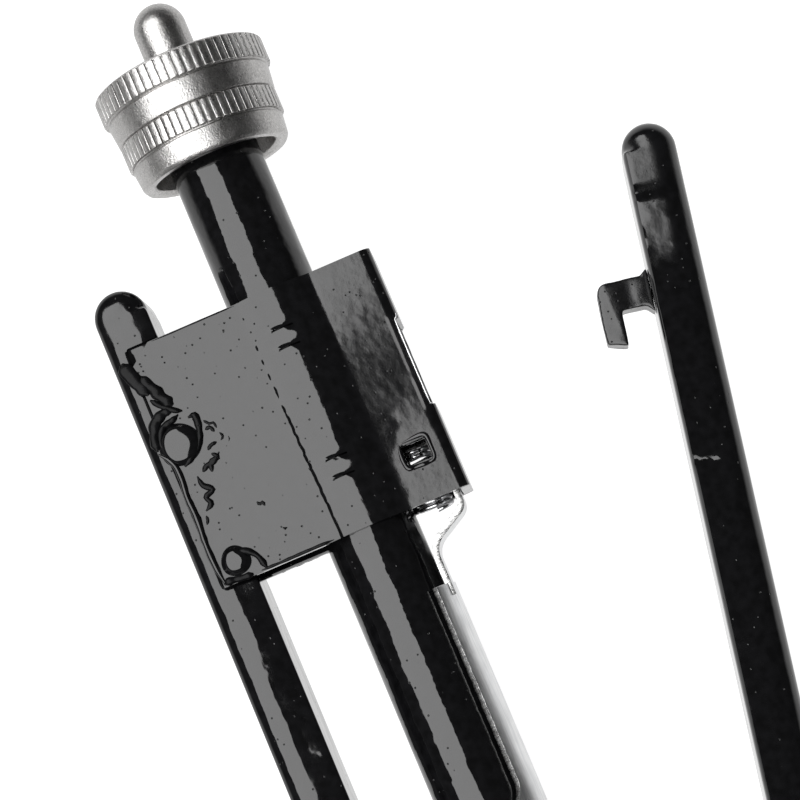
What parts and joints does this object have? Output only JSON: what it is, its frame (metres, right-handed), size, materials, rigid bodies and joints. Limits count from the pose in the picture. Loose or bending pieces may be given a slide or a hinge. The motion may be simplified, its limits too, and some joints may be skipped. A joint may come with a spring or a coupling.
{
  "type": "safety wire twisting pliers",
  "caption": "Lever pliers with a spiral-driven pull knob between the handles and a sliding lock, standing open.",
  "frame": {"origin": "centre of the pivot rivet's lower flat face, on the pivot axis", "axes": "+X to the jaw tips along the barrel, +Y towards the moving handle, +Z along the pivot axis"},
  "size_m": [0.2362, 0.0706, 0.0212],
  "materials": {
    "black_enamel": "thick glossy black enamel",
    "satin_nickel": "satin nickel plate on a casting",
    "bright_zinc": "bright plated sheet",
    "spring_steel": "bright drawn spring wire and strip",
    "plain_steel": "plain turned steel"
  },
  "bodies": {
    "fixed_side": {"fixed_jaw_handle": "black_enamel", "barrel_tube": "black_enamel", "lock_bracket": "black_enamel", "bracket_rivets": "black_enamel", "front_yoke": "black_enamel", "yoke_pin": "plain_steel", "tube_plug": "plain_steel", "drive_nut": "plain_steel", "nut_pin": "plain_steel", "pivot_rivet": "plain_steel", "return_spring": "spring_steel", "lock_spring": "spring_steel"},
    "moving_side": {"moving_jaw_handle": "black_enamel", "latch_hook": "black_enamel", "leaf_spring": "spring_steel", "leaf_rivet": "plain_steel"},
    "lock_slider": {"lock_slide": "bright_zinc"},
    "rod_follower": {"spring_follower": "plain_steel"},
    "twist_spindle": {"twist_rod": "plain_steel", "rod_stop": "plain_steel", "knob": "satin_nickel", "spindle_cap": "satin_nickel"}
  },
  "joints": [
    {"name": "handle_pivot", "type": "hinge", "parent": "fixed_side", "child": "moving_side", "pos_m": [0, 0, 0.0086], "axis": [0, 0, 1], "range_deg": [0, 11], "stiffness_Nm_per_rad": 0.2, "springref_deg": -8.59, "deforming": ["leaf_spring"]},
    {"name": "lock_slide_travel", "type": "slide", "parent": "fixed_side", "child": "lock_slider", "axis": [-1, 0, 0], "range_m": [0, 0.004], "stiffness_N_per_m": 250, "springref_m": -0.002, "deforming": ["lock_spring"]},
    {"name": "twist_pull", "type": "slide", "parent": "fixed_side", "child": "rod_follower", "axis": [-1, 0, 0], "range_m": [0, 0.088], "stiffness_N_per_m": 60, "springref_m": -0.03, "deforming": ["return_spring"]},
    {"name": "twist_spin", "type": "hinge", "parent": "rod_follower", "child": "twist_spindle", "pos_m": [-0.1, 0, 0.0086], "axis": [-1, 0, 0], "range_deg": [0, 793]}
  ],
  "couplings": [
    {"joint": "twist_spin", "follows": "twist_pull", "rad_per_m": 157.08}
  ]
}
